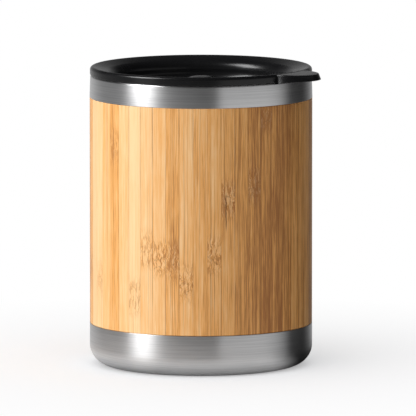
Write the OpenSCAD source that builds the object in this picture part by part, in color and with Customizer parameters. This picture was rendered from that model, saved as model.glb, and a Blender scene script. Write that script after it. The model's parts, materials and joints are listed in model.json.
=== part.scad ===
// Double-wall steel and bamboo cup with a press-in lid, in millimetres.
// The origin is the centre of the base on the table, +Z is up, and the lid's thumb tab points along +X.

/* [Body] */
// Outside diameter of the steel bands
body_d = 82; // [78:0.5:90]
// Height of the steel band round the base
base_h = 15.5; // [12:0.5:24]
// Height of the bamboo sleeve between the two steel bands
sleeve_h = 83.5; // [60:0.5:110]
// Height of the steel collar above the bamboo
collar_h = 8.2; // [6:0.1:14]
// Wall of the steel bands
band_t = 0.7; // [0.5:0.1:1.2]
// Radius of the rounded lower edge
base_round = 7.5; // [3:0.1:8]
// How much narrower the collar's radius is at its top
collar_taper = 0.28; // [0:0.02:0.6]
// Radius of the collar's shoulder
collar_round = 0.8; // [0.5:0.1:1.2]

/* [Base] */
// Width of the flat ring that the cup stands on
foot_w = 4.5; // [3:0.1:6]
// How far the middle of the base is raised off the table
foot_rise = 0.8; // [0.4:0.1:1]

/* [Bamboo sleeve] */
// Number of glued bamboo strips
strip_count = 50; // [40:1:53]
// Thickness of the bamboo
strip_t = 3.1; // [2.4:0.1:4]
// How far the bamboo's face lies below the steel bands
sleeve_inset = 0.05; // [0:0.01:0.2]
// Bevel on the outer edges at both ends of a strip
strip_bevel = 0.25; // [0.1:0.05:0.5]
// Glue between the bamboo and the outer shell
glue_t = 0.1; // [0.05:0.01:0.2]
// Turn of the first glue line from the tab
strip_phase = 4.4; // [0:0.1:7]

/* [Double wall] */
// Wall of the outer shell behind the bamboo
shell_t = 0.5; // [0.4:0.1:0.8]
// Corner radius of the outer shell's bottom
shell_round = 5; // [4:0.5:8]
// Air between the outer shell and the liner
air_t = 2; // [1.5:0.1:3]
// Wall of the liner
liner_t = 0.5; // [0.4:0.1:0.8]
// Corner radius inside the liner
liner_round = 6; // [3:0.5:10]
// Radius of the liner's drinking edge
lip_round = 0.5; // [0.2:0.1:0.8]
// Seam between a steel band and the shell that it is pressed on
seam_t = 0.05; // [0.02:0.01:0.1]

/* [Lid] */
// How far the lid's rim lies inside the steel bands
rim_inset = 0.15; // [0:0.05:0.4]
// Height of the lid's rim above the collar
rim_h = 3.1; // [2.8:0.1:4]
// Radius of the rim's rounded crown
crown_round = 1.2; // [0.8:0.1:1.4]
// Radius of the rim's lower edge
rim_edge = 0.4; // [0.2:0.1:0.6]
// Slope of the rim's top towards the bowl, in degrees
rim_slope = 15; // [10:1:16]
// Radius of the bend from the rim into the bowl
bend_round = 3.5; // [1:0.1:3.8]
// Depth of the bowl below the rim's crown
bowl_depth = 8.5; // [8:0.1:10]
// Radius between the bowl's floor and its wall
bowl_round = 3; // [2:0.1:3.5]
// Thickness of the bowl's floor
floor_t = 1.6; // [1.2:0.1:2]
// Height of the plug that goes into the mouth
plug_h = 10; // [9.6:0.1:14]
// Wall of the plug
plug_t = 2.1; // [1.8:0.1:2.4]
// Radius of the plug's leading edge
plug_round = 0.6; // [0.3:0.1:1]
// Gap between the plug and the liner
plug_clear = 0.5; // [0.4:0.05:0.8]

/* [Tab] */
// How far the thumb tab reaches past the rim
tab_reach = 10; // [8:0.05:12]
// Radius of the tab's round end
tab_round = 10.4; // [9:0.1:11.5]
// Thickness of the tab at its tip
tab_t = 2.2; // [1.8:0.1:2.6]
// How far the tab's top lies below the crown at its root
tab_drop = 0.1; // [0.05:0.05:0.3]
// How far the tab's top falls on its way to the tip
tab_fall = 0.25; // [0:0.05:0.5]
// How far the tab's root hangs down past the rim
tab_hang = 0.5; // [0.3:0.05:1]
// How far the tab's underside arches up between its root and its tip
tab_arch = 0.3; // [0.1:0.05:0.4]
// How far the tab's side leans in on its way up
tab_lean = 1; // [0.4:0.05:1.2]
// Gap between the tab's root and the collar
tab_clear = 0.2; // [0.15:0.05:0.3]

/* [Gasket] */
// Height of the silicone gasket
gasket_h = 4; // [3:0.1:5]
// Depth of the groove in the plug
groove_d = 1; // [0.8:0.1:1.2]
// Height of the plug's shoulder above the groove
groove_drop = 2.8; // [2:0.1:3.5]
// Radius of the two sealing ribs
rib_round = 0.7; // [0.5:0.05:0.8]
// Gap between a sealing rib and the liner
gasket_clear = 0.3; // [0.25:0.05:0.4]
// Gap between the gasket and the bottom of its groove
groove_clear = 0.05; // [0.03:0.01:0.1]

/* [Drinking hole and slider] */
// Length of the drinking hole towards the rim
sip_l = 7; // [5:0.5:8]
// Width of the drinking hole
sip_w = 14; // [10:0.5:15]
// Diameter of the air hole
vent_d = 2; // [1.5:0.1:3]
// Distance of the air hole from the bowl's corner
vent_inset = 8.15; // [5:0.05:10]
// How far the closed slider laps past the drinking hole
lap_closed = 2.4; // [1.5:0.1:2.6]
// How far the open slider stays clear of the drinking hole
lap_open = 0.8; // [0.5:0.1:1.5]
// Gap between the closed slider and the bowl's corner
end_clear = 0.6; // [0.4:0.1:1]
// Width of the slider's foot
slider_w = 19; // [18:0.5:20]
// Thickness of the slider's plate
slider_t = 2; // [1.8:0.1:2.4]
// Thickness of the slider's foot
foot_t = 1; // [0.8:0.1:1.1]
// Reach of the slider behind the lid's centre
slider_back = 9; // [8:0.5:12]
// Radius of the slider's rear corners
slider_corner = 2; // [1:0.5:4]
// Length of the thumb grip along the slide
grip_l = 8.2; // [6:0.1:10]
// Width of the thumb grip
grip_w = 10; // [8:0.1:12]
// Height of the thumb grip above the plate
grip_h = 2.9; // [2:0.1:3.5]
// Radius of the thumb grip's corners
grip_corner = 3; // [1.5:0.5:4]
// Radius of the thumb grip's domed top
grip_dome = 10; // [9:0.5:20]
// Radius of the hollows at the front and back of the grip
scoop_r = 4; // [3:0.5:6]
// Depth of those hollows
scoop_d = 0.9; // [0.4:0.1:1.2]
// Thickness of a guide rail
rail_t = 1.2; // [1:0.1:1.6]
// Overhang of a guide rail over the slider's foot
rail_lip = 0.7; // [0.5:0.1:0.9]
// Thickness of that overhang
rail_lip_t = 0.9; // [0.7:0.1:1.1]
// Gap between the front end of a guide rail and the bowl's corner
rail_gap = 1; // [0.5:0.1:3]
// Running gap between the slider and its rails
rail_clear = 0.3; // [0.2:0.05:0.4]
// Gap between the open slider and its stop
stop_clear = 0.2; // [0.1:0.05:0.4]

/* [Hidden] */
$fn = 128;
// One overrun serves all cuts
over = 1;

// Body
body_r = body_d / 2;
sleeve_top = base_h + sleeve_h;
cup_h = sleeve_top + collar_h;
sleeve_r = body_r - sleeve_inset;
sleeve_in_r = sleeve_r - strip_t;
strip_pitch = 360 / strip_count;
collar_top_r = body_r - collar_taper;
collar_lean = atan(collar_taper / collar_h);

// Double wall
shell_r = sleeve_in_r - glue_t;
liner_r = shell_r - shell_t - air_t;
mouth_r = liner_r - liner_t;
foot_out_r = body_r - base_round;
foot_in_r = foot_out_r - foot_w;
panel_z = foot_rise + band_t;
liner_z = panel_z + shell_t + air_t;

// Lid
rim_r = body_r - rim_inset;
lid_top = cup_h + rim_h;
plug_r = mouth_r - plug_clear;
plug_z = cup_h - plug_h;
bowl_r = plug_r - plug_t;
floor_r = bowl_r - bowl_round;
floor_z = lid_top - bowl_depth;
// The rim's slope, carried on to the rim's wall and to the bowl's wall
slope_out_z = lid_top - crown_round + crown_round * (1 + sin(rim_slope)) / cos(rim_slope);
slope_in_z = slope_out_z - (rim_r - bowl_r) * tan(rim_slope);
groove_r = plug_r - groove_d;
groove_z = cup_h - groove_drop - gasket_h;
rib_shares = [1 / 4, 3 / 4];

// Tab: a round tongue that starts inside the rim's crown
tab_root_r = rim_r - crown_round;
tab_tip_r = rim_r + tab_reach;
tab_x = tab_tip_r - tab_round;
tab_top = lid_top - tab_drop;
tab_low = cup_h - tab_hang;

// Slider, open at rest with its grip over the lid's centre
closed_r = floor_r - end_clear;
sip_x = closed_r - lap_closed - sip_l / 2;
travel = sip_l + lap_closed + lap_open;
vent_x = floor_r - vent_inset;
rail_y = slider_w / 2 + rail_clear;
rail_front = sqrt(pow(floor_r, 2) - pow(rail_y + rail_t, 2)) - rail_gap;
rail_end = slider_back + stop_clear + rail_t;
rail_h = foot_t + rail_clear + rail_lip_t;
plate_w = slider_w - 2 * (rail_lip + rail_clear);
grip_top = floor_z + slider_t + grip_h;

steel = [0.74, 0.74, 0.75];
bamboo = [0.88, 0.69, 0.43];
bamboo_dark = [0.80, 0.60, 0.35];
black = [0.07, 0.07, 0.07];
silicone = [0.62, 0.62, 0.62];

function strip_name(i) = str("bamboo_strip_", i < 10 ? "0" : "", i);
function dir(a) = [cos(a), sin(a)];

// What lies between a corner and an arc that touches its two edges, which leave p at angles a and b.
// The corner's tip is drawn out past p, so that a cut clears it and a fillet roots in the walls.
module corner(p, a, b, r, tip = over)
{
    half = (b - a) / 2;
    middle = dir((a + b) / 2);
    centre = p + middle * r / sin(half);
    touch = r / tan(half);
    difference()
    {
        polygon([p - middle * tip, p + dir(a) * touch, centre, p + dir(b) * touch]);
        translate(centre)
            circle(r);
    }
}

// Half section of a cup with a rounded bottom edge
module cup_section(r, low, high, round)
{
    difference()
    {
        translate([0, low])
            square([r, high - low]);
        corner([r, low], 90, 180, round);
    }
}

// Steel band round the base, with its floor and the ledge that the bamboo stands on
module base_cup()
{
    color(steel)
    rotate_extrude()
    difference()
    {
        cup_section(body_r, 0, base_h, base_round);
        difference()
        {
            cup_section(body_r - band_t, band_t, base_h - band_t, base_round - band_t);
            square([foot_in_r + band_t, panel_z]);
        }
        translate([0, -over])
            square([foot_in_r, foot_rise + over]);
        translate([0, panel_z])
            square([shell_r + seam_t, base_h]);
    }
}

// Steel cup behind the bamboo, which carries both bands
module outer_shell()
{
    color(steel)
    rotate_extrude()
    difference()
    {
        cup_section(shell_r, panel_z, cup_h - liner_t, shell_round);
        cup_section(shell_r - shell_t, panel_z + shell_t, cup_h + over, shell_round - shell_t);
    }
}

// Steel cup that holds the drink, with the flange that joins it to the shell
module inner_liner()
{
    color(steel)
    rotate_extrude()
    difference()
    {
        union()
        {
            cup_section(liner_r, liner_z, cup_h, liner_round + liner_t);
            translate([0, cup_h - liner_t])
                square([shell_r, liner_t]);
        }
        cup_section(mouth_r, liner_z + liner_t, cup_h + over, liner_round);
        corner([mouth_r, cup_h], -90, 0, lip_round);
    }
}

// Steel band above the bamboo, turned in to the liner's flange
module top_collar()
{
    color(steel)
    rotate_extrude()
    difference()
    {
        polygon([
            [body_r - band_t, sleeve_top],
            [body_r, sleeve_top],
            [collar_top_r, cup_h],
            [shell_r + seam_t, cup_h],
            [shell_r + seam_t, cup_h - band_t],
            [collar_top_r - band_t, cup_h - band_t]
        ]);
        corner([collar_top_r, cup_h], 180, 270 + collar_lean, collar_round);
    }
}

// One glued strip of the sleeve, with its face turned to the cup's radius
module bamboo_strip(i)
{
    color(i % 3 == 0 ? bamboo_dark : bamboo)
    rotate([0, 0, strip_phase + (i - 1) * strip_pitch])
    rotate_extrude(angle = strip_pitch)
    polygon([
        [sleeve_in_r, base_h],
        [sleeve_r - strip_bevel, base_h],
        [sleeve_r, base_h + strip_bevel],
        [sleeve_r, sleeve_top - strip_bevel],
        [sleeve_r - strip_bevel, sleeve_top],
        [sleeve_in_r, sleeve_top]
    ]);
}

// Half section of the lid: crowned rim, plug with its groove, and the bowl's floor
module lid_section()
{
    difference()
    {
        polygon([
            [0, floor_z - floor_t],
            [bowl_r, floor_z - floor_t],
            [bowl_r, plug_z],
            [plug_r, plug_z],
            [plug_r, cup_h],
            [rim_r, cup_h],
            [rim_r, slope_out_z],
            [bowl_r, slope_in_z],
            [bowl_r, floor_z],
            [0, floor_z]
        ]);
        corner([rim_r, slope_out_z], 180 + rim_slope, 270, crown_round);
        corner([rim_r, cup_h], 90, 180, rim_edge);
        corner([bowl_r, slope_in_z], -90, rim_slope, bend_round);
        corner([plug_r, plug_z], 90, 180, plug_round);
        translate([groove_r, groove_z])
            square([groove_d + over, gasket_h]);
    }
    corner([bowl_r, floor_z], 90, 180, bowl_round, floor_t / 2);
}

// Seen from the side: the tab's falling top and the arch of its underside
module tab_profile()
{
    root = [tab_root_r, tab_low];
    tip = [tab_tip_r, tab_top - tab_fall - tab_t];
    half = norm(tip - root) / 2;
    arch_r = (pow(half, 2) + pow(tab_arch, 2)) / (2 * tab_arch);
    down = [tip[1] - root[1], root[0] - tip[0]] / (2 * half);
    difference()
    {
        union()
        {
            polygon([root, tip, tip + [0, tab_t], [tab_root_r, tab_top]]);
            translate([0, tab_low])
                square([tab_root_r, tab_top - tab_low]);
        }
        translate((root + tip) / 2 + down * (arch_r - tab_arch))
            circle(arch_r);
    }
}

// Thumb tab: a round tongue with leaning sides, clear of the collar and rooted in the rim's crown
module tab()
{
    height = tab_top - tab_low;
    difference()
    {
        intersection()
        {
            rotate([90, 0, 0])
                linear_extrude(2 * tab_tip_r, center = true)
                tab_profile();
            translate([tab_x, 0, tab_low])
                cylinder(r1 = tab_round, r2 = tab_round - tab_lean, h = height);
        }
        translate([0, 0, tab_low - over])
            cylinder(r = body_r + tab_clear, h = tab_hang + over);
        translate([0, 0, tab_low - over])
            cylinder(r = tab_root_r, h = height + 2 * over);
    }
}

// Guide rails on the bowl's floor, with the stop behind the open slider
module rails()
{
    root = floor_t / 2;
    for (side = [0, 1])
        mirror([0, side, 0])
        {
            translate([-rail_front, rail_y, floor_z - root])
                cube([rail_front + rail_end, rail_t, root + rail_h]);
            translate([-rail_front, slider_w / 2 - rail_lip, floor_z + rail_h - rail_lip_t])
                cube([rail_front + rail_end, rail_y + rail_t - slider_w / 2 + rail_lip, rail_lip_t]);
        }
    translate([rail_end - rail_t, -rail_y, floor_z - root])
        cube([rail_t, 2 * rail_y, root + foot_t]);
}

module lid_body()
{
    color(black)
    difference()
    {
        union()
        {
            rotate_extrude()
                lid_section();
            tab();
            rails();
        }
        translate([-sip_x, 0, floor_z - floor_t - over])
            linear_extrude(floor_t + 2 * over)
            union()
            {
                square([sip_l, sip_w - sip_l], center = true);
                for (side = [-1, 1])
                    translate([0, side * (sip_w - sip_l) / 2])
                        circle(sip_l / 2);
            }
        translate([vent_x, 0, floor_z - floor_t - over])
            cylinder(d = vent_d, h = floor_t + 2 * over);
    }
}

// Silicone ring in the plug's groove, with two round ribs that wipe the liner
module lid_gasket()
{
    color(silicone)
    rotate_extrude()
    intersection()
    {
        union()
        {
            translate([groove_r, groove_z])
                square([groove_d, gasket_h]);
            for (share = rib_shares)
                translate([mouth_r - gasket_clear - rib_round, groove_z + gasket_h * share])
                    circle(rib_round);
        }
        translate([groove_r + groove_clear, groove_z])
            square([groove_d + plug_clear, gasket_h]);
    }
}

// Seen from above: the slider at a given width, its front end round to fit the bowl when closed
module slider_outline(w)
{
    difference()
    {
        intersection()
        {
            translate([travel, 0])
                circle(closed_r);
            translate([-closed_r, -w / 2])
                square([closed_r + slider_back, w]);
        }
        corner([slider_back, w / 2], 180, 270, slider_corner);
        corner([slider_back, -w / 2], 90, 180, slider_corner);
    }
}

// Seen from above: the thumb grip
module grip_outline()
{
    difference()
    {
        square([grip_l, grip_w], center = true);
        for (turn = [0, 180])
            rotate(turn)
            {
                corner([grip_l / 2, grip_w / 2], 180, 270, grip_corner);
                corner([grip_l / 2, -grip_w / 2], 90, 180, grip_corner);
            }
    }
}

// Slider over the drinking hole: a foot under the rails, a plate between them and a domed thumb grip
module lid_slider()
{
    color(black)
    union()
    {
        translate([0, 0, floor_z])
            linear_extrude(foot_t)
            slider_outline(slider_w);
        translate([0, 0, floor_z])
            linear_extrude(slider_t)
            slider_outline(plate_w);
        difference()
        {
            intersection()
            {
                translate([0, 0, floor_z])
                    linear_extrude(grip_top - floor_z)
                    grip_outline();
                translate([0, 0, grip_top - grip_dome])
                    sphere(grip_dome);
            }
            for (side = [-1, 1])
                translate([side * (grip_l / 2 + scoop_r - scoop_d), 0, floor_z + slider_t + grip_h / 2])
                    rotate([90, 0, 0])
                    cylinder(r = scoop_r, h = grip_w + over, center = true);
        }
    }
}

base_cup();
outer_shell();
inner_liner();
top_collar();
lid_body();
lid_gasket();
lid_slider();
for (i = [1 : strip_count])
    bamboo_strip(i);
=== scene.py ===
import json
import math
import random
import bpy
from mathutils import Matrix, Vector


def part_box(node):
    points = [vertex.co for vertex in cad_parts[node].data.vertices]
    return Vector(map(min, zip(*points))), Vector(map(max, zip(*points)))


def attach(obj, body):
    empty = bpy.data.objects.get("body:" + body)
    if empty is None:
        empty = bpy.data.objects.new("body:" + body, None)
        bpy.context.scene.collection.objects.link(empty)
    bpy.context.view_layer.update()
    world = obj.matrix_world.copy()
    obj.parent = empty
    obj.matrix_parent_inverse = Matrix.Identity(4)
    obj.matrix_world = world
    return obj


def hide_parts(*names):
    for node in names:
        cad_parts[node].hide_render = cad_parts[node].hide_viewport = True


bl_info = {
    "name": "Bamboo cup",
    "version": (1, 0, 0),
    "blender": (4, 5, 0),
    "location": "3D View > Sidebar > Cup",
    "description": "Dresses the steel and bamboo cup and sets up a plain studio",
    "category": "Object",
}

import bmesh
import bpy
from bpy.props import FloatProperty, FloatVectorProperty, IntProperty, PointerProperty
from bpy.types import NodeSocket, Operator, Panel, PropertyGroup, Scene, World
from mathutils import Vector

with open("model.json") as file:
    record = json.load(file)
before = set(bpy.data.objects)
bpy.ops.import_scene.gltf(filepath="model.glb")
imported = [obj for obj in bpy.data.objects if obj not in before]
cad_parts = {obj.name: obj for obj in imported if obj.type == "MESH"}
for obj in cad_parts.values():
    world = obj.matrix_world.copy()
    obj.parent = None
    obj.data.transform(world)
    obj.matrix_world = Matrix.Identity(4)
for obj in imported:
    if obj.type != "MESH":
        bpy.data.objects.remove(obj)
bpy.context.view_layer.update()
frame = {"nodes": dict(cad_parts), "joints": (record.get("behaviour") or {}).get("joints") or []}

MM = 0.001
TURN = 2 * math.pi
EPS = 1e-6
CREASE = math.radians(32)

# Steps round the lathed pieces, a fillet's quarter and the radius that doubles them, a moulded edge,
# the tab and its edge, the lid's holes and the slider's round end
ROUND_STEPS = 288
FILLET_STEPS = 6
FILLET_DOUBLE = 2 * MM
EDGE_STEPS = 3
TAB_STEPS = 192
TAB_EDGE_STEPS = 5
HOLE_STEPS = 48
NOSE_STEPS = 24
# Levels up the thumb grip, rings on its dome, and steps and rings of the floor
GRIP_LEVELS = 12
DOME_RINGS = 14
FLOOR_STEPS = 96
FLOOR_RINGS = 12

# What the frame says of each piece's place
BASE_LO, BASE_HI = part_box("base_cup")
_, SHELL_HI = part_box("outer_shell")
LINER_LO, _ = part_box("inner_liner")
COLLAR_LO, COLLAR_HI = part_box("top_collar")
LID_LO, LID_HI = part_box("lid_body")
GASKET_LO, GASKET_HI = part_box("lid_gasket")
SLIDER_LO, SLIDER_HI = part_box("lid_slider")
STRIPS = sorted(name for name in frame["nodes"] if name.startswith("bamboo_strip_"))
SLEEVE_LO, SLEEVE_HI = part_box(STRIPS[0])
SLIDE = next(joint for joint in frame["joints"] if joint["name"] == "slider_slide")


def length(text, default, note):
    """A length property, its default in metres."""
    return FloatProperty(name=text, description=note, default=default, min=0, max=20,
                         precision=5, subtype="DISTANCE", unit="LENGTH")


def angle(text, degrees, note):
    """An angle property, its default in degrees."""
    return FloatProperty(name=text, description=note, default=math.radians(degrees),
                         subtype="ANGLE", unit="ROTATION")


def number(text, default, note):
    """A plain number property, from 0 up."""
    return FloatProperty(name=text, description=note, default=default, min=0)


def step_count(text, default, note):
    """A count of steps."""
    return IntProperty(name=text, description=note, default=default, min=2, max=64)


def colour(text, default, note):
    """A linear colour property."""
    return FloatVectorProperty(name=text, description=note, default=default, min=0.0, max=1.0,
                               size=3, subtype="COLOR")


class CupSizes(PropertyGroup):
    """Sizes of the double-wall cup that the frame's boxes don't give"""

    band_t: length("Band wall", 0.7 * MM, "Wall of the steel bands")
    base_round: length("Base rounding", 7.5 * MM, "Radius of the rounded lower edge")
    foot_w: length("Foot width", 4.5 * MM, "Width of the ring that the cup stands on")
    foot_rise: length("Foot rise", 0.8 * MM, "How far the middle of the base is raised")
    edge_round: length("Edge rounding", 0.12 * MM, "Radius of the bands' cut edges")
    collar_taper: length("Collar taper", 0.28 * MM, "How much narrower the collar is at its top")
    collar_round: length("Collar shoulder", 0.8 * MM, "Radius of the collar's shoulder")
    liner_t: length("Liner wall", 0.5 * MM, "Wall of the liner")
    liner_gap: length("Wall gap", 2.5 * MM, "From the shell's face to the liner's face")
    liner_round: length("Liner corner", 6.0 * MM, "Corner radius inside the liner")
    seam: length("Seam", 0.05 * MM, "Seam between the bands and the shell")


class StripSizes(PropertyGroup):
    """Sizes of the glued bamboo strips"""

    wall: length("Bamboo wall", 3.1 * MM, "Thickness of the bamboo")
    inset: length("Inset", 0.05 * MM, "How far the strips lie inside the bands' face")
    phase: angle("First glue line", 4.4, "Turn of the first glue line from the tab")
    groove: length("Glue groove", 0.05 * MM, "Bevel beside each glue line")
    bevel: length("End bevel", 0.25 * MM, "Bevel at a strip's ends")
    arcs: step_count("Arc steps", 8, "Steps across a strip's face")
    rings: step_count("Ring steps", 12, "Steps along a strip")


class LidSizes(PropertyGroup):
    """Sizes of the lid, its tab, rails, gasket and slider"""

    rim_r: length("Rim radius", BASE_HI.y - 0.15 * MM, "Radius of the lid's rim")
    rim_h: length("Rim height", 3.1 * MM, "Height of the rim above the collar")
    crown_round: length("Crown", 1.2 * MM, "Radius of the rim's crown")
    rim_edge: length("Rim edge", 0.4 * MM, "Radius of the rim's lower edge")
    slope: angle("Rim slope", 15, "Slope of the rim towards the bowl")
    bend_round: length("Bend", 3.5 * MM, "Radius of the bend into the bowl")
    bowl_r: length("Bowl radius", 32.15 * MM, "Radius of the bowl's wall")
    bowl_depth: length("Bowl depth", 8.5 * MM, "Depth of the bowl below the crown")
    bowl_round: length("Bowl corner", 3.0 * MM, "Radius between the bowl's floor and wall")
    floor_t: length("Floor", 1.6 * MM, "Thickness of the bowl's floor")
    plug_t: length("Plug wall", 2.1 * MM, "Wall of the plug")
    plug_round: length("Plug edge", 0.6 * MM, "Radius of the plug's leading edge")
    groove_d: length("Groove depth", 1.0 * MM, "Depth of the gasket's groove")
    tab_round: length("Tab end", 10.4 * MM, "Radius of the tab's round end")
    tab_reach: length("Tab reach", 10.0 * MM, "How far the tab reaches past the rim")
    tab_t: length("Tab tip", 2.2 * MM, "Thickness of the tab at its tip")
    tab_drop: length("Tab drop", 0.1 * MM, "How far the tab's top lies below the crown")
    tab_fall: length("Tab fall", 0.25 * MM, "How far the tab's top falls towards its tip")
    tab_hang: length("Tab root", 0.5 * MM, "How far the tab's root hangs below the rim")
    tab_arch: length("Tab arch", 0.3 * MM, "Rise of the arch under the tab")
    tab_lean: length("Tab lean", 1.0 * MM, "How far the tab's side leans in")
    tab_clear: length("Tab gap", 0.2 * MM, "Gap between the tab's root and the collar")
    tab_edge: length("Tab edge", 0.45 * MM, "Radius of the tab's upper edge")
    sip_l: length("Hole length", 7.0 * MM, "Length of the drinking hole")
    sip_w: length("Hole width", 14.0 * MM, "Width of the drinking hole")
    end_clear: length("End gap", 0.6 * MM, "Gap between the closed slider and the bowl's corner")
    lap_closed: length("Closed lap", 2.4 * MM, "How far the closed slider laps past the hole")
    vent_r: length("Air hole", 1.0 * MM, "Radius of the air hole")
    vent_inset: length("Air hole inset", 8.15 * MM, "From the bowl's corner to the air hole")
    slider_w: length("Slider foot", 19.0 * MM, "Width of the slider's foot")
    slider_t: length("Slider plate", 2.0 * MM, "Thickness of the slider's plate")
    foot_t: length("Slider foot thickness", 1.0 * MM, "Thickness of the slider's foot")
    slider_corner: length("Slider corner", 2.0 * MM, "Radius of the slider's rear corners")
    grip_l: length("Grip length", 8.2 * MM, "Length of the thumb grip")
    grip_w: length("Grip width", 10.0 * MM, "Width of the thumb grip")
    grip_corner: length("Grip corner", 3.0 * MM, "Radius of the thumb grip's corners")
    grip_dome: length("Grip dome", 26.0 * MM, "Radius of the thumb grip's top")
    scoop_r: length("Scoop", 4.0 * MM, "Radius of the hollows before and behind the grip")
    scoop_d: length("Scoop depth", 0.9 * MM, "Depth of those hollows")
    rail_t: length("Rail", 1.2 * MM, "Thickness of a guide rail")
    rail_lip: length("Rail lip", 0.7 * MM, "Overhang of a guide rail")
    rail_lip_t: length("Rail lip thickness", 0.9 * MM, "Thickness of that overhang")
    rail_clear: length("Rail gap", 0.3 * MM, "Running gap of the slider")
    rail_gap: length("Rail end gap", 1.0 * MM, "From a rail's front end to the bowl's corner")
    stop_clear: length("Stop gap", 0.2 * MM, "Gap between the open slider and its stop")
    soft_edge: length("Moulded edge", 0.2 * MM, "Radius of small moulded edges")
    rib_round: length("Rib", 0.7 * MM, "Radius of the gasket's ribs")
    groove_clear: length("Groove gap", 0.05 * MM, "Gap between the gasket and the groove's bottom")


class Finishes(PropertyGroup):
    """Colours of the cup's materials"""

    steel: colour("Steel", (0.72, 0.72, 0.725), "Brushed stainless steel")
    bamboo_pale: colour("Pale bamboo", (0.94, 0.635, 0.335), "The palest strips")
    bamboo: colour("Bamboo", (0.84, 0.41, 0.12), "Most strips")
    bamboo_dark: colour("Dark bamboo", (0.38, 0.15, 0.04), "The darkest strips, knuckles and glue lines")
    black: colour("Black", (0.005, 0.005, 0.0055), "Lid and slider")
    silicone: colour("Silicone", (0.42, 0.42, 0.41), "Gasket")
    floor: colour("Floor", (0.785, 0.79, 0.805), "Studio floor")


class Studio(PropertyGroup):
    """Camera, lights and floor"""

    azimuth: angle("Camera azimuth", 33.5, "Turn of the camera round the cup")
    distance: length("Camera distance", 3.291, "Level distance of the camera")
    height: length("Camera height", 0.460, "Height of the camera above the floor")
    pitch: angle("Camera pitch", 6.970, "How far the camera looks down")
    yaw: angle("Camera yaw", 0.0448, "How far the camera looks past the cup's axis")
    lens: number("Lens", 778.8, "Focal length in millimetres")
    key_azimuth: angle("Key azimuth", -74, "Turn of the key light from the camera")
    key_height: angle("Key elevation", 42, "Elevation of the key light")
    key_distance: length("Key distance", 1.5, "Distance of the key light")
    key_w: length("Key width", 0.60, "Width of the key light")
    key_h: length("Key height", 0.85, "Height of the key light")
    key_power: number("Key power", 21.5, "Power of the key light in watts")
    even: number("Even light", 0.04, "Matt light from all round")
    front: number("Front light", 0.84, "Matt light from the front left")
    front_azimuth: angle("Front azimuth", -28, "Turn of the front light from the camera")
    above: number("Top light", 1.1, "Matt light from above")
    walls: number("Wall brightness", 1.25, "Brightness of the walls in reflections")
    ceiling: angle("Dark ceiling", 26, "Elevation at which the walls turn dark")
    floor_r: length("Floor radius", 0.3, "Radius of the floor")
    floor_drop: length("Floor drop", 0.02 * MM, "How far the floor lies below the cup")
    floor_glow: number("Floor glow", 0.38, "Light added to the floor that the camera sees")
    fade_near: length("Fade start", 0.045, "Where the floor starts to fade into white")
    fade_far: length("Fade end", 0.19, "Where the floor is all white")
    # Side of the floor where reflections show a painted shadow
    shade_azimuth: angle("Shade azimuth", 120, "Turn from the camera of the floor's shaded side")


class Graph:
    """Adds shader nodes and joins them."""

    def __init__(self, owner):
        self.owner = owner
        owner.use_nodes = True
        self.tree = owner.node_tree
        self.tree.nodes.clear()

    def add(self, kind, inputs=(), **settings):
        """One node, with its settings, and its inputs as values or sockets."""
        made = self.tree.nodes.new("ShaderNode" + kind)
        for key, value in settings.items():
            setattr(made, key, value)
        for key, value in dict(inputs).items():
            socket = made.inputs[key]
            if isinstance(value, NodeSocket):
                self.tree.links.new(value, socket)
            else:
                socket.default_value = value
        return made

    def first(self, kind, inputs=(), **settings):
        """One node's first output."""
        return self.add(kind, inputs, **settings).outputs[0]

    def math(self, operation, *values, clamp=False):
        """A math node's result."""
        return self.first("Math", enumerate(values), operation=operation, use_clamp=clamp)

    def dot(self, one, other):
        """How far one direction runs along the other."""
        return self.add("VectorMath", {0: one, 1: other}, operation="DOT_PRODUCT").outputs["Value"]

    def times(self, first, second, clamp=False):
        """A product."""
        return self.math("MULTIPLY", first, second, clamp=clamp)

    def plus(self, first, second):
        """A sum."""
        return self.math("ADD", first, second)

    def minus(self, first, second):
        """A difference."""
        return self.math("SUBTRACT", first, second)

    def absolute(self, value):
        """A number without its sign."""
        return self.math("ABSOLUTE", value)

    def scaled(self, value, factor, added):
        """A value times a factor, plus another."""
        return self.math("MULTIPLY_ADD", value, factor, added)

    def ramp(self, value, low, high, smooth=True):
        """0 below low, 1 above high, and a smooth or straight rise between."""
        made = self.add("MapRange", {"Value": value, "From Min": low, "From Max": high},
                        interpolation_type="SMOOTHSTEP" if smooth else "LINEAR")
        return made.outputs["Result"]

    def mix(self, share, first, second, blend="MIX"):
        """A colour mix."""
        inputs = {0: share, 6: first, 7: second}
        return self.add("Mix", inputs, data_type="RGBA", blend_type=blend).outputs[2]

    def noise(self, place, detail=2.0, rough=0.5):
        """Noise from 0 to 1 at a place."""
        inputs = {"Vector": place, "Scale": 1.0, "Detail": detail, "Roughness": rough}
        return self.add("TexNoise", inputs).outputs["Fac"]

    def grain(self, x, y, z, detail=2.0, rough=0.5):
        """Noise fixed to the object, with so many features per metre along each axis."""
        here = self.add("TexCoord").outputs["Object"]
        return self.noise(self.first("Mapping", {"Vector": here, "Scale": (x, y, z)}), detail, rough)

    def field(self, name):
        """A value stored on the mesh."""
        return self.add("Attribute", attribute_name=name, attribute_type="GEOMETRY").outputs["Fac"]

    def bump(self, height, depth, strength=1.0):
        """A bump from a height from 0 to 1 and its depth in metres."""
        made = self.add("Bump", {"Height": height, "Distance": depth, "Strength": strength})
        return made.outputs["Normal"]

    def finish(self, shader):
        """Joins the last shader to the surface and gives back the material or the world."""
        kind = "OutputWorld" if isinstance(self.owner, World) else "OutputMaterial"
        self.add(kind, {"Surface": shader})
        return self.owner

    def coat(self, inputs):
        """Finishes with the standard surface shader."""
        return self.finish(self.first("BsdfPrincipled", inputs))


def rgba(tint, share=1.0):
    """A colour with its alpha, made darker or paler by a share."""
    return (*(c * share for c in tint), 1.0)


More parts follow.
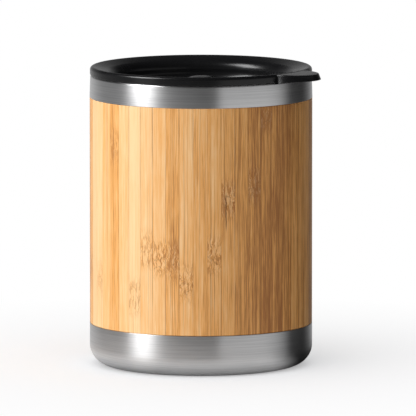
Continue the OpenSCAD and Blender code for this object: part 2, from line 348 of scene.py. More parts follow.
def brushed_steel(name, tint, brush, spread, rough):
    """Steel brushed round its axis: fine rings in its shade, roughness and bump."""
    g = Graph(bpy.data.materials.new(name))
    fine = g.grain(30, 30, brush, detail=3, rough=0.65)
    broad = g.grain(12, 12, brush / 7)
    cloud = g.grain(55, 55, 90, detail=3, rough=0.6)
    rings = g.plus(g.times(fine, 0.82), g.times(broad, 0.18))
    dark = rgba(tint, 0.84)
    shade = g.mix(g.ramp(rings, 0.36, 0.62), dark, rgba(tint))
    shade = g.mix(g.times(g.ramp(cloud, 0.45, 0.75), 0.12), shade, dark)
    tangent = g.first("Tangent", direction_type="RADIAL", axis="Z")
    return g.coat({
        "Base Color": shade, "Metallic": 1.0,
        "Roughness": g.plus(g.times(rings, 0.10), g.scaled(cloud, 0.05, rough - 0.07)),
        "Anisotropic": spread, "Anisotropic Rotation": 0.25, "Tangent": tangent,
        "Normal": g.bump(rings, 0.012 * MM, 0.35),
    })


def black_plastic(name, tint):
    """Black moulded plastic with a satin skin, faint flow marks and rubbed spots."""
    g = Graph(bpy.data.materials.new(name))
    skin = g.grain(5200, 5200, 5200)
    flow = g.grain(260, 260, 700, detail=4, rough=0.6)
    rubbed = g.ramp(g.grain(90, 90, 90, detail=5, rough=0.7), 0.52, 0.78)
    pale = rgba([c * 1.9 + 0.004 for c in tint])
    return g.coat({
        "Base Color": g.mix(g.times(rubbed, 0.5), rgba(tint), pale),
        "Roughness": g.plus(g.scaled(flow, 0.08, 0.21), g.times(rubbed, 0.04)),
        "IOR": 1.45, "Specular IOR Level": 0.4,
        "Normal": g.bump(g.plus(skin, g.times(flow, 0.6)), 0.01 * MM, 0.35),
    })


def soft_silicone(name, tint):
    """Milky grey silicone with a matt skin."""
    g = Graph(bpy.data.materials.new(name))
    grain = g.grain(2400, 2400, 2400, detail=3)
    haze = g.grain(140, 140, 400)
    return g.coat({
        "Base Color": g.mix(haze, rgba(tint, 0.86), rgba(tint)),
        "Roughness": g.scaled(grain, 0.15, 0.48), "IOR": 1.41,
        "Subsurface Weight": 0.25, "Subsurface Radius": (1.0, 1.0, 1.0), "Subsurface Scale": 0.6 * MM,
        "Normal": g.bump(grain, 0.008 * MM, 0.5),
    })


# How far apart the strips' own noises lie, which keeps them unlike
SEED_JUMP = 700
# On the bamboo: width of a strip's face, a knuckle's core and edge, how far dark fibres run from a
# knuckle, and the crack's place on its strip, its half width and how far down it runs
STRIP_FACE = 5.15 * MM
KNUCKLE_CORE = 2.5 * MM
KNUCKLE_EDGE = 9.5 * MM
THREAD_RUN = 34 * MM
CRACK_SIDE = 1.9 * MM
CRACK_HALF = 0.4 * MM
CRACK_RUN = 13 * MM


def laminated_bamboo(name, pale, middle, dark):
    """Lacquered bamboo: a tone for each strip, long fine fibres, knuckles and glue lines."""
    g = Graph(bpy.data.materials.new(name))
    across, tone, depth = g.field("across"), g.field("tone"), g.field("knot")
    jump = g.times(g.field("seed"), SEED_JUMP)
    # Millimetres across the strip, along the cane and off the knuckle
    side = g.times(across, STRIP_FACE / MM)
    along = g.times(g.field("height"), 1 / MM)
    off = g.minus(along, g.times(g.field("knuckle"), 1 / MM))
    far = g.absolute(off)
    near = g.times(g.minus(1, g.ramp(far, KNUCKLE_CORE / MM, KNUCKLE_EDGE / MM)), depth)

    def at(x, z, wide, long, shift, detail=2, rough=0.5):
        """Noise of a strip's own, with so many features a millimetre across and along it."""
        place = {"X": g.times(x, wide), "Y": g.plus(jump, shift), "Z": g.times(z, long)}
        return g.noise(g.first("CombineXYZ", place), detail, rough)

    def swing(value, size):
        """Noise as a swing about 0."""
        return g.times(g.minus(value, 0.5), size)

    # Fibres sway slowly along the cane and curl round a knuckle
    curl = at(side, along, 0.55, 0.4, 5)
    sway = at(side, along, 0.15, 0.02, 9, 1)
    arch = at(side, along, 0.5, 0.1, 14)
    patch = at(side, along, 0.16, 0.045, 51, 3, 0.6)
    x = g.plus(side, g.plus(g.times(swing(curl, 2.2), near), swing(sway, 1.6)))
    z = g.plus(along, g.times(swing(arch, 9.0), near))
    broad = at(x, z, 0.40, 0.006, 0, 1)
    fibre = at(x, z, 2.2, 0.026, 31, 4, 0.75)
    hair = at(x, z, 6.5, 0.13, 67, 2, 0.6)
    vein = at(x, z, 2.4, 0.004, 83, 1)
    stroke = at(x, z, 1.8, 0.30, 11, 3, 0.7)

    # The darker a strip, the more its fibres stand out
    level = g.plus(g.plus(swing(broad, 0.6), swing(fibre, 2.0)), swing(hair, 1.2))
    level = g.times(g.plus(level, swing(patch, 0.7)), g.scaled(tone, -0.8, 1.55))
    # The strip's tone goes in here; on the strips at the right of the camera's view it is partly painted
    # shade
    level = g.scaled(near, -0.35, g.plus(level, tone))
    shade = g.mix(g.ramp(level, -1, 0, smooth=False), rgba(dark), rgba(middle))
    shade = g.mix(g.ramp(level, 0, 1, smooth=False), shade, rgba(pale))

    # Thin dark fibres, strongest on dark strips and near a knuckle
    reach = g.times(g.ramp(far, THREAD_RUN / MM, 4), g.times(depth, 0.35))
    strength = g.plus(g.scaled(tone, -0.20, 0.34), reach)
    shade = g.mix(g.times(g.ramp(vein, 0.60, 0.68), strength, clamp=True), shade, rgba(dark, 0.8))

    # A knuckle breaks the fibres into short dark and pale strokes
    short = g.times(g.ramp(stroke, 0.51, 0.57), g.times(near, 0.85), clamp=True)
    shade = g.mix(short, shade, rgba(dark, 1.15))
    bare = g.times(near, g.scaled(tone, 0.3, 0.45))
    shade = g.mix(g.times(g.ramp(stroke, 0.50, 0.41), bare, clamp=True), shade, rgba(pale))

    # Two thin lines run across it, broken here and there
    ridge = g.plus(off, swing(arch, 12.0))
    line = g.math("MINIMUM", g.absolute(ridge), g.absolute(g.plus(ridge, 2.1)))
    scar = g.times(g.minus(1, g.ramp(line, 0.08, 0.38)), g.ramp(curl, 0.40, 0.56))
    scar = g.times(scar, g.times(near, 0.50))
    shade = g.mix(scar, shade, rgba(dark, 0.75))

    # A crack runs down the cane from the deepest knuckle
    split = g.minus(1, g.ramp(g.absolute(g.minus(x, CRACK_SIDE / MM)), 0.12, CRACK_HALF / MM))
    span = g.times(g.ramp(off, -CRACK_RUN / MM, -8), g.ramp(off, 3, 0))
    crack = g.times(g.times(split, span), g.ramp(depth, 0.92, 0.98))
    shade = g.mix(g.times(crack, 0.85), shade, rgba(dark, 0.5))

    # The glue line at one side of each strip is strong in some places and lost in others
    joint = at(0.0, along, 1, 0.025, 3)
    strength = g.times(g.ramp(joint, 0.36, 0.64), g.field("glue"))
    glue = g.times(g.ramp(across, 0.915, 0.975), g.scaled(strength, 0.60, 0.05))
    shade = g.mix(glue, shade, rgba(dark, 0.6))

    relief = g.minus(g.scaled(fibre, 0.7, g.times(hair, 0.3)), scar)
    return g.coat({
        "Base Color": shade, "Roughness": g.scaled(fibre, 0.16, 0.36), "IOR": 1.45,
        "Specular IOR Level": 0.42, "Coat Weight": 0.12, "Coat Roughness": 0.25,
        "Normal": g.bump(relief, 0.025 * MM, 0.35),
    })


def rounded(corners, closed=True):
    """Points through corners (r, z, radius), with an arc in place of each rounded corner."""
    points = []
    count = len(corners)
    for i, (r, z, radius) in enumerate(corners):
        here = Vector((r, z))
        if radius <= 0 or (not closed and i in (0, count - 1)):
            points.append(here)
            continue
        before = (Vector(corners[i - 1][:2]) - here).normalized()
        after = (Vector(corners[(i + 1) % count][:2]) - here).normalized()
        half = before.angle(after) / 2
        centre = here + (before + after).normalized() * radius / math.sin(half)
        start = here + before * radius / math.tan(half) - centre
        end = here + after * radius / math.tan(half) - centre
        sweep = start.angle(end)
        steps = max(2, round(FILLET_STEPS * sweep / (math.pi / 2) * (1 + radius / FILLET_DOUBLE)))
        for k in range(steps + 1):
            share = k / steps
            arm = start * math.sin((1 - share) * sweep) + end * math.sin(share * sweep)
            points.append(centre + arm / math.sin(sweep))
    return [(p.x, p.y) for p in points]


def new_piece(name, verts, faces, material):
    """A mesh object from points and faces, smooth but for its creases."""
    mesh = bpy.data.meshes.new(name)
    mesh.from_pydata([tuple(v) for v in verts], [], faces)
    made = bpy.data.objects.new(name, mesh)
    bpy.context.scene.collection.objects.link(made)
    tidy_mesh(mesh)
    mesh.materials.append(material)
    return made


def tidy_mesh(mesh):
    """Joins points that coincide, turns the faces outwards and marks the creases."""
    bm = bmesh.new()
    bm.from_mesh(mesh)
    bmesh.ops.remove_doubles(bm, verts=bm.verts, dist=EPS)
    bmesh.ops.recalc_face_normals(bm, faces=bm.faces)
    bm.to_mesh(mesh)
    bm.free()
    mesh.shade_smooth()
    mesh.set_sharp_from_angle(angle=CREASE)


def polar(r, turn):
    """A point (x, y) at a radius and a turn from the X axis."""
    return r * math.cos(turn), r * math.sin(turn)


def circle(radius, steps, middle=0.0):
    """Points (x, y) of a circle with its middle on the X axis."""
    points = [polar(radius, TURN * k / steps) for k in range(steps)]
    return [(middle + x, y) for x, y in points]


def lathe(name, profile, material, steps=ROUND_STEPS, closed=True):
    """A profile of (r, z) points turned about the axis, its last joined to its first if closed."""
    verts, rows = [], []
    for r, z in profile:
        if r < EPS:
            rows.append([len(verts)] * steps)
            verts.append((0, 0, z))
            continue
        rows.append(list(range(len(verts), len(verts) + steps)))
        verts += [(x, y, z) for x, y in circle(r, steps)]
    faces = []
    for a, b in zip(rows, rows[1:] + (rows[:1] if closed else [])):
        if a[0] == a[1] and b[0] == b[1]:
            continue
        for k in range(steps):
            n = (k + 1) % steps
            face = list(dict.fromkeys((a[k], a[n], b[n], b[k])))
            if len(face) > 2:
                faces.append(face)
    return new_piece(name, verts, faces, material)


def stack(name, rings, material):
    """Rings of as many points each, one above the other, with a cap at both ends."""
    steps = len(rings[0])
    verts = [p for ring in rings for p in ring]
    faces = [list(range(steps)), list(range(len(verts) - steps, len(verts)))]
    for level in range(len(rings) - 1):
        for k in range(steps):
            n = (k + 1) % steps
            low, high = level * steps, (level + 1) * steps
            faces.append([low + k, low + n, high + n, high + k])
    return new_piece(name, verts, faces, material)


def prism(outline, low, high, material):
    """A plain tool for a cut."""
    return stack("tool", [[(x, y, z) for x, y in outline] for z in (low, high)], material)


def inset(outline, distance):
    """An outline, anticlockwise, moved inwards by a distance."""
    made = []
    for i, here in enumerate(outline):
        before, after = outline[i - 1], outline[(i + 1) % len(outline)]
        along = Vector((after[0] - before[0], after[1] - before[1])).normalized()
        made.append((here[0] - along.y * distance, here[1] + along.x * distance))
    return made


def slab(name, outline, low, high, edge, material):
    """An outline's prism with its upper edge rounded."""
    rings = [[(x, y, low) for x, y in outline]]
    for k in range(EDGE_STEPS + 1):
        turn = math.pi / 2 * k / EDGE_STEPS
        drawn = inset(outline, edge * (1 - math.cos(turn)))
        rings.append([(x, y, high - edge + edge * math.sin(turn)) for x, y in drawn])
    return stack(name, rings, material)


def bar(name, low, high, edge, material):
    """A straight bar between two corners with its upper edge rounded."""
    outline = [(low[0], low[1]), (high[0], low[1]), (high[0], high[1]), (low[0], high[1])]
    corners = [(x, y, edge) for x, y in outline]
    return slab(name, rounded(corners), low[2], high[2], edge, material)


def combine(target, tool, operation):
    """Joins a tool to the target or cuts it away, and removes the tool."""
    modifier = target.modifiers.new(operation, "BOOLEAN")
    modifier.operation = operation
    modifier.solver = "EXACT"
    modifier.object = tool
    graph = bpy.context.evaluated_depsgraph_get()
    mesh = bpy.data.meshes.new_from_object(target.evaluated_get(graph))
    target.modifiers.clear()
    old, target.data = target.data, mesh
    mesh.name = old.name
    bpy.data.meshes.remove(old)
    bpy.data.objects.remove(tool)
    tidy_mesh(mesh)


def settle(piece, body, slot, *nodes):
    """Puts a finished piece on its body, in place of its nodes; its slot is not used."""
    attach(piece, body)
    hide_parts(*nodes)


def finish_colour(name):
    """A colour of the finishes, by name."""
    return tuple(getattr(bpy.context.scene.cup_finishes, name))


def material(name, maker, *values):
    """A material by name, made once."""
    return bpy.data.materials.get(name) or maker(name, *values)


def steel(name, brush, spread, rough):
    """A brushed steel by name."""
    return material(name, brushed_steel, finish_colour("steel"), brush, spread, rough)


def lid_black():
    """The black plastic of the lid and the slider."""
    return material("satin_black", black_plastic, finish_colour("black"))


class CUP_OT_steel(Operator):
    """Build the two steel bands and the liner, and finish the hidden shell"""

    bl_idname = "cup.steel"
    bl_label = "Steel"

    def execute(self, context):
        s = context.scene.cup_sizes
        band = steel("brushed_band_steel", 3200, 0.93, 0.34)
        plain = steel("brushed_liner_steel", 1500, 0.55, 0.36)
        body_r, base_top = BASE_HI.y, BASE_HI.z
        foot_out = body_r - s.base_round
        foot_in = foot_out - s.foot_w
        panel = s.foot_rise + s.band_t
        seat = SHELL_HI.y + s.seam
        base = rounded([
            (body_r, base_top, s.edge_round), (body_r, 0, s.base_round),
            (foot_in, 0, s.edge_round * 2), (foot_in, s.foot_rise, s.edge_round * 2),
            (0, s.foot_rise, 0), (0, panel, 0),
            (foot_in + s.band_t, panel, 0), (foot_in + s.band_t, s.band_t, 0),
            (body_r - s.band_t, s.band_t, s.base_round - s.band_t),
            (body_r - s.band_t, base_top - s.band_t, 0),
            (seat, base_top - s.band_t, 0), (seat, base_top, 0),
        ])
        settle(lathe("base_band", base, band), "cup", "brushed_steel", "base_cup")

        top, low = COLLAR_HI.z, COLLAR_LO.z
        top_r = body_r - s.collar_taper
        collar = rounded([
            (body_r, low, s.edge_round), (top_r, top, s.collar_round),
            (seat, top, 0), (seat, top - s.band_t, 0),
            (top_r - s.band_t, top - s.band_t, 0), (body_r - s.band_t, low, 0),
        ])
        settle(lathe("collar_band", collar, band), "cup", "brushed_steel", "top_collar")

        liner_r = SHELL_HI.y - s.liner_gap
        inner_r = liner_r - s.liner_t
        bottom = LINER_LO.z
        liner = rounded([
            (0, bottom, 0), (liner_r, bottom, s.liner_round + s.liner_t),
            (liner_r, top - s.liner_t, 0), (SHELL_HI.y, top - s.liner_t, 0),
            (SHELL_HI.y, top, 0), (inner_r, top, s.liner_t),
            (inner_r, bottom + s.liner_t, s.liner_round), (0, bottom + s.liner_t, 0),
        ])
        settle(lathe("liner_cup", liner, plain), "cup", "brushed_steel", "inner_liner")
        shell = frame["nodes"]["outer_shell"].data
        shell.materials.clear()
        shell.materials.append(plain)
        return {"FINISHED"}


# Tone of a strip, knuckle's height as a share of the sleeve, knuckle's strength, glue line's strength
# The tones are partly each strip's own colour and partly painted shade: strips on the right of the
# camera's view, away from the key light, are toned darker
LOOKS = {
    32: (0.8, 0, 0, 0.3), 33: (0.8, 0.22, 0.4, 0.3), 34: (0.4, 0, 0, 0.2),
    35: (0.02, 0.82, 0.4, 0.3), 36: (0.5, 0, 0, 0.2),
    37: (0.9, 0.16, 0.6, 0.5), 38: (0.6, 0.37, 0.7, 0.9), 39: (0.35, 0.34, 0.9, 0.4),
    40: (-0.05, 0.33, 0.9, 1.0), 41: (0.3, 0.235, 0.9, 0.8), 42: (0.2, 0, 0, 0.5),
    43: (0.1, 0.35, 0.9, 0.7), 44: (-0.1, 0.60, 1.0, 0.9), 45: (-0.3, 0, 0, 0.6),
    46: (-0.65, 0.655, 0.9, 0.8), 47: (-0.6, 0.97, 0.8, 0.7), 48: (-0.65, 0, 0, 0.6),
    49: (-0.75, 0, 0, 0.6), 50: (-0.3, 0, 0, 0.4),
    1: (-0.2, 0, 0, 0.4), 2: (-0.1, 0, 0, 0.3),
}


def strip_look(number, dice):
    """A strip's look from the table, or a random one; every strip draws, so the others keep theirs."""
    tone, knuckle = dice.uniform(-0.6, 0.6), dice.uniform(0.08, 0.92)
    knot, glue = dice.choice((0.0, 0.0, 0.6, 0.9)), dice.uniform(0.2, 0.9)
    return LOOKS.get(number, (tone, knuckle, knot, glue))


def strip_mesh(name, start, pitch, s, look, seed, finish):
    """One glued strip with its face turned to the cup's radius, and its look stored on its points."""
    low, high = SLEEVE_LO.z, SLEEVE_HI.z
    outer = BASE_HI.y - s.inset
    inner = outer - s.wall
    sides = [k / s.arcs for k in range(s.arcs + 1)]
    groove = s.groove / (outer * pitch)
    stations = [0.0, groove] + sides[1:-1] + [1 - groove, 1.0]
    levels = [(low, s.bevel), (low + s.bevel, 0.0)]
    levels += [(low + (high - low) * k / s.rings, 0.0) for k in range(1, s.rings)]
    levels += [(high - s.bevel, 0.0), (high, s.bevel)]
    rings, across, height = [], [], []
    for z, bevel in levels:
        section = [(outer - bevel - (s.groove if share in (0, 1) else 0), share) for share in stations]
        section += [(inner, share) for share in reversed(sides)]
        rings.append([(*polar(r, start + pitch * share), z) for r, share in section])
        across += [share for _, share in section]
        height += [z] * len(section)
    made = stack(name, rings, finish)
    tone, knuckle, knot, glue = look
    even = {"seed": seed, "tone": tone, "knot": knot, "glue": glue,
            "knuckle": low + (high - low) * knuckle}
    fields = {field: [value] * len(across) for field, value in even.items()}
    fields.update(across=across, height=height)
    for field, listed in fields.items():
        stored = made.data.attributes.new(field, "FLOAT", "POINT")
        stored.data.foreach_set("value", listed)
    return made


class CUP_OT_bamboo(Operator):
    """Build the glued bamboo strips"""

    bl_idname = "cup.bamboo"
    bl_label = "Bamboo sleeve"

    def execute(self, context):
        s = context.scene.cup_strips
        tints = [finish_colour(name) for name in ("bamboo_pale", "bamboo", "bamboo_dark")]
        finish = material("laminated_bamboo", laminated_bamboo, *tints)
        pitch = TURN / len(STRIPS)
        dice = random.Random(7)
        for i, node in enumerate(STRIPS):
            look = strip_look(i + 1, dice)
            seed = dice.random()
            piece = strip_mesh(f"strip_{i + 1:02d}", s.phase + i * pitch, pitch, s, look, seed, finish)
            settle(piece, "cup", "bamboo", node)
        return {"FINISHED"}


def tab_mesh(s, top, seat, finish):
    """The thumb tab: a round tongue with leaning sides, rooted in the rim's crown."""
    tip_r = s.rim_r + s.tab_reach
    middle = tip_r - s.tab_round
    high, low = top - s.tab_drop, seat - s.tab_hang
    root_r = s.rim_r - s.crown_round
    # The arch under the tab, from its root to its tip
    chord = Vector((tip_r - root_r, high - s.tab_fall - s.tab_t - low))
    arch_r = ((chord.length / 2) ** 2 + s.tab_arch ** 2) / (2 * s.tab_arch)
    down = Vector((chord.y, -chord.x)).normalized()
    arch = Vector((root_r, low)) + chord / 2 + down * (arch_r - s.tab_arch)

    def under(x):
        return low if x < root_r else arch.y + math.sqrt(arch_r ** 2 - (x - arch.x) ** 2)

    def over(x):
        return high - s.tab_fall * max(0.0, x - root_r) / (tip_r - root_r)

    def side_r(z):
        return s.tab_round - s.tab_lean * (z - low) / (high - low)

    edge, soft = s.tab_edge, s.soft_edge
    quarter = [math.pi / 2 * k / TAB_EDGE_STEPS for k in range(TAB_EDGE_STEPS + 1)]
    shares = (0.03, 0.2, 0.4, 0.6, 0.8)
    columns = []
    for j in range(TAB_STEPS):
        ray = Vector(polar(1, TURN * j / TAB_STEPS))
        foot_z = under(middle + s.tab_round * ray.x)
        foot = side_r(foot_z)
        head_z = over(middle + foot * ray.x)
        head = side_r(head_z)
        inner = [share * (foot - soft) for share in shares]
        upper = [share * (head - edge) for share in reversed(shares)]
        column = [(r, under(middle + r * ray.x)) for r in inner]
        column += [(foot - soft + soft * math.sin(t), foot_z + soft - soft * math.cos(t))
                   for t in quarter[::2]]
        column += [(head - edge + edge * math.cos(t), head_z - edge + edge * math.sin(t))
                   for t in quarter]
        column += [(r, over(middle + r * ray.x)) for r in upper]
        columns.append([(middle + r * ray.x, r * ray.y, z) for r, z in column])
    tab = stack("tab", [list(ring) for ring in zip(*columns)], finish)
    for radius, reach in ((BASE_HI.y + s.tab_clear, seat), (root_r + soft, top + s.rim_h)):
        combine(tab, prism(circle(radius, ROUND_STEPS), low - s.rim_h, reach, finish), "DIFFERENCE")
    return tab


def lid_shell(s, finish):
    """The lid's round part: crowned rim, plug with its groove, and bowl."""
    seat, top, bottom = COLLAR_HI.z, LID_HI.z, LID_LO.z
    plug_r = s.bowl_r + s.plug_t
    floor = top - s.bowl_depth
    slope_out = top - s.crown_round + s.crown_round * (1 + math.sin(s.slope)) / math.cos(s.slope)
    slope_in = slope_out - (s.rim_r - s.bowl_r) * math.tan(s.slope)
    groove_r = plug_r - s.groove_d
    soft = s.soft_edge
    section = rounded([
        (0, floor, 0), (s.bowl_r, floor, s.bowl_round),
        (s.bowl_r, slope_in, s.bend_round), (s.rim_r, slope_out, s.crown_round),
        (s.rim_r, seat, s.rim_edge), (plug_r, seat, soft),
        (plug_r, GASKET_HI.z, soft), (groove_r, GASKET_HI.z, 0),
        (groove_r, GASKET_LO.z, 0), (plug_r, GASKET_LO.z, soft),
        (plug_r, bottom, s.plug_round), (s.bowl_r, bottom, soft),
        (s.bowl_r, floor - s.floor_t, soft), (0, floor - s.floor_t, 0),
    ])
    lid = lathe("lid_shell", section, finish)
    # The bowl's floor and its underside become one flat face each
    bm = bmesh.new()
    bm.from_mesh(lid.data)
    hubs = [v for v in bm.verts if v.co.xy.length < EPS]
    bmesh.ops.dissolve_verts(bm, verts=hubs)
    bm.to_mesh(lid.data)
    bm.free()
    return lid


def add_rails(lid, s, floor, finish):
    """The slider's two guide rails with their lips, and its stop."""
    soft = s.soft_edge
    rail_y = s.slider_w / 2 + s.rail_clear
    front = math.sqrt((s.bowl_r - s.bowl_round) ** 2 - (rail_y + s.rail_t) ** 2) - s.rail_gap
    rail_h = s.foot_t + s.rail_clear + s.rail_lip_t
    back = SLIDER_HI.x + s.stop_clear
    root = floor - s.floor_t / 2
    for side in (-1, 1):
        # The rail itself, then its lip over the slider's foot
        for near, low in ((rail_y, root), (s.slider_w / 2 - s.rail_lip, floor + rail_h - s.rail_lip_t)):
            y0, y1 = sorted((side * near, side * (rail_y + s.rail_t)))
            rail = bar("rail", (-front, y0, low), (back + s.rail_t, y1, floor + rail_h), soft, finish)
            combine(lid, rail, "UNION")
    near, far = (back, -rail_y - soft, root), (back + s.rail_t, rail_y + soft, floor + s.foot_t)
    combine(lid, bar("stop", near, far, soft, finish), "UNION")


def cut_holes(lid, s, floor, finish):
    """The drinking hole and the air hole."""
    floor_r = s.bowl_r - s.bowl_round
    end_r = s.sip_l / 2
    sip_x = floor_r - s.end_clear - s.lap_closed - end_r
    half = (s.sip_w - s.sip_l) / 2
    hole = []
    for k in range(HOLE_STEPS):
        turn = TURN * k / HOLE_STEPS
        shift = math.copysign(half, math.sin(turn + EPS))
        hole.append((-sip_x + end_r * math.cos(turn), shift + end_r * math.sin(turn)))
    vent = circle(s.vent_r, HOLE_STEPS, floor_r - s.vent_inset)
    for outline in (hole, vent):
        combine(lid, prism(outline, floor - 2 * s.floor_t, floor + s.floor_t, finish), "DIFFERENCE")


class CUP_OT_lid(Operator):
    """Build the lid"""

    bl_idname = "cup.lid"
    bl_label = "Lid"

    def execute(self, context):
        s, finish = context.scene.cup_lid, lid_black()
        floor = LID_HI.z - s.bowl_depth
        lid = lid_shell(s, finish)
        combine(lid, tab_mesh(s, LID_HI.z, COLLAR_HI.z, finish), "UNION")
        add_rails(lid, s, floor, finish)
        cut_holes(lid, s, floor, finish)
        settle(lid, "lid", "lid_black", "lid_body")
        return {"FINISHED"}


# Half a rib's width as a share of its rounding, and the ribs' places up the gasket
RIB_SHARE = 0.98
RIB_PLACES = (0.25, 0.75)


class CUP_OT_gasket(Operator):
    """Build the silicone gasket"""

    bl_idname = "cup.gasket"
    bl_label = "Gasket"

    def execute(self, context):
        s = context.scene.cup_lid
        low, high = GASKET_LO.z, GASKET_HI.z
        face = s.bowl_r + s.plug_t
        inner = face - s.groove_d + s.groove_clear
        outer = GASKET_HI.y
        half = s.rib_round * RIB_SHARE
        corners = [(inner, low, 0), (face, low, 0)]
        for share in RIB_PLACES:
            middle = low + (high - low) * share
            corners += [
                (face, middle - half, 0), (outer, middle - half / 2, half / 2),
                (outer, middle + half / 2, half / 2), (face, middle + half, 0),
            ]
        corners += [(face, high, 0), (inner, high, 0)]
        finish = material("soft_silicone", soft_silicone, finish_colour("silicone"))
        settle(lathe("gasket_ring", rounded(corners), finish), "lid", "silicone", "lid_gasket")
        return {"FINISHED"}


def slider_outline(s, width):
    """Seen from above, anticlockwise: the slider's round front end and its rear corners."""
    closed_r = s.bowl_r - s.bowl_round - s.end_clear
    travel = SLIDE["range_m"][1]
    back = SLIDER_HI.x
    half = width / 2
    reach = math.asin(half / closed_r)
    turns = [reach * (1 - 2 * k / NOSE_STEPS) for k in range(NOSE_STEPS + 1)]
    front = [(travel - closed_r * math.cos(turn), closed_r * math.sin(turn)) for turn in turns]
    corner = s.slider_corner
    rear = rounded([(front[-1][0], -half, 0), (back, -half, corner), (back, half, corner),
                    (front[0][0], half, 0)], closed=False)
    return front[:-1] + rear[:-1]


# Rounding of the thumb grip's top edge, and the spacing of the points round it
GRIP_EDGE = 0.35 * MM
GRIP_SPACING = 0.35 * MM


def grip_rings(s, floor, top):
    """Rings of the thumb grip: hollowed sides, then the dome."""
    a, b, corner = s.grip_l / 2, s.grip_w / 2, s.grip_corner
    plate = floor + s.slider_t
    start = plate - s.slider_t / 2
    outline = []
    listed = rounded([(-a, -b, corner), (a, -b, corner), (a, b, corner), (-a, b, corner)])
    for p, q in zip(listed, listed[1:] + listed[:1]):
        steps = max(1, round(math.dist(p, q) / GRIP_SPACING))
        outline += [(p[0] + (q[0] - p[0]) * k / steps, p[1] + (q[1] - p[1]) * k / steps)
                    for k in range(steps)]

    def dome(x, y):
        return top - s.grip_dome + math.sqrt(s.grip_dome ** 2 - x * x - y * y)

    def hollowed(x, z):
        """Draws the front and back in by the scoop at this height."""
        rise = z - plate - (top - plate) / 2
        deep = math.sqrt(max(0.0, s.scoop_r ** 2 - rise ** 2)) - s.scoop_r + s.scoop_d
        limit = a - max(0.0, deep)
        return max(-limit, min(limit, x))

    rings = []
    for k in range(GRIP_LEVELS + 1):
        heights = [start + (dome(x, y) - GRIP_EDGE - plate + s.slider_t / 2) * k / GRIP_LEVELS
                   for x, y in outline]
        rings.append([(hollowed(x, z), y, z) for (x, y), z in zip(outline, heights)])
    rim = rings[-1]
    for k in range(1, DOME_RINGS + 1):
        share = k / (DOME_RINGS + 1)
        ring = []
        for bx, by, _ in rim:
            x, y = bx * (1 - share), by * (1 - share)
            gone = math.hypot(bx - x, by - y)
            fall = GRIP_EDGE - math.sqrt(max(0.0, GRIP_EDGE ** 2 - max(0.0, GRIP_EDGE - gone) ** 2))
            ring.append((x, y, dome(x, y) - fall))
        rings.append(ring)
    return rings


class CUP_OT_slider(Operator):
    """Build the slider that covers the drinking hole"""

    bl_idname = "cup.slider"
    bl_label = "Slider"

    def execute(self, context):
        s = context.scene.cup_lid
        finish = lid_black()
        floor = SLIDER_LO.z
        plate_w = s.slider_w - 2 * (s.rail_lip + s.rail_clear)
        foot, top = slider_outline(s, s.slider_w), slider_outline(s, plate_w)
        slider = slab("slider_cover", foot, floor, floor + s.foot_t, s.soft_edge / 2, finish)
        plate = slab("plate", top, floor + s.foot_t / 2, floor + s.slider_t, s.soft_edge, finish)
        combine(slider, plate, "UNION")
        combine(slider, stack("grip", grip_rings(s, floor, SLIDER_HI.z), finish), "UNION")
        settle(slider, "slider", "lid_black", "lid_slider")
        return {"FINISHED"}


# Brightness of the studio's walls as metal sees them, by degrees to the right of the camera
WALLS = (
    (-180, 0.55), (-150, 0.46), (-125, 0.28), (-76, 0.28), (-71, 0.80), (-52, 0.90), (-47, 0.32),
    (-36, 0.26), (-18, 0.20), (4, 0.14), (16, 0.13), (22, 0.62), (72, 0.64), (88, 0.54), (97, 0.32),
    (106, 0.07), (120, 0.05), (132, 0.03), (146, 0.12), (180, 0.50),
)
WHITE = (1.0, 1.0, 1.0)

# Share of the walls' brightness left at the ceiling, and the sine of the elevation where it is full
CEILING_SHARE = 0.02
HORIZON = -0.09


def facing(azimuth, rise=0.0):
    """The direction from the cup at an azimuth, from -Y towards +X, and an elevation."""
    level = math.cos(rise)
    return Vector((math.sin(azimuth) * level, -math.cos(azimuth) * level, math.sin(rise)))


def studio_world(s):
    """White to the camera, soft light on matt surfaces, walls under a dark ceiling in reflections."""
    g = Graph(bpy.data.worlds.new("studio"))
    ray = g.add("TexCoord").outputs["Generated"]

    def lobe(axis, strength):
        """Light from one side, strongest along its axis."""
        return g.times(g.math("POWER", g.math("MAXIMUM", g.dot(ray, axis), 0), 2), strength)

    front = lobe(facing(s.azimuth + s.front_azimuth), s.front)
    soft = g.plus(g.plus(front, lobe((0, 0, 1), s.above)), s.even)

    turn = g.math("ARCTAN2", g.dot(ray, facing(s.azimuth + TURN / 4)), g.dot(ray, facing(s.azimuth)))
    walls = g.add("ValToRGB", {"Fac": g.scaled(turn, 1 / TURN, 0.5)})
    stops = walls.color_ramp.elements
    for k, (degrees, brightness) in enumerate(WALLS):
        place = degrees / 360 + 0.5
        stop = stops[k] if k < 2 else stops.new(place)
        stop.position = place
        stop.color = rgba([brightness] * 3)
    dimmer = g.ramp(g.dot(ray, (0, 0, 1)), math.sin(s.ceiling), HORIZON, smooth=False)
    shade = g.times(g.scaled(dimmer, 1 - CEILING_SHARE, CEILING_SHARE), s.walls)
    walls = g.mix(1.0, walls.outputs["Color"], shade, "MULTIPLY")

    kind = g.add("LightPath").outputs
    mirror = g.math("MAXIMUM", kind["Is Glossy Ray"], kind["Is Transmission Ray"])
    seen = g.mix(kind["Is Camera Ray"], g.mix(mirror, soft, walls), rgba(WHITE))
    return g.finish(g.first("Background", {"Color": seen, "Strength": 1.0}))


# How steel and plastic see the floor: where it gives way to the walls, where a painted glow lightens it
# and by how much, and its colours on the bright side and on the dark side, which is a painted shadow of
# the cup
GIVE_WAY = (60 * MM, 95 * MM)
BRIGHTEN = (36 * MM, 50 * MM)
PAINTED_GLOW = 0.20
BRIGHT_SIDE = (0.97, 0.97, 0.97)
PAINTED_SHADOW_SIDE = (0.02, 0.02, 0.02)


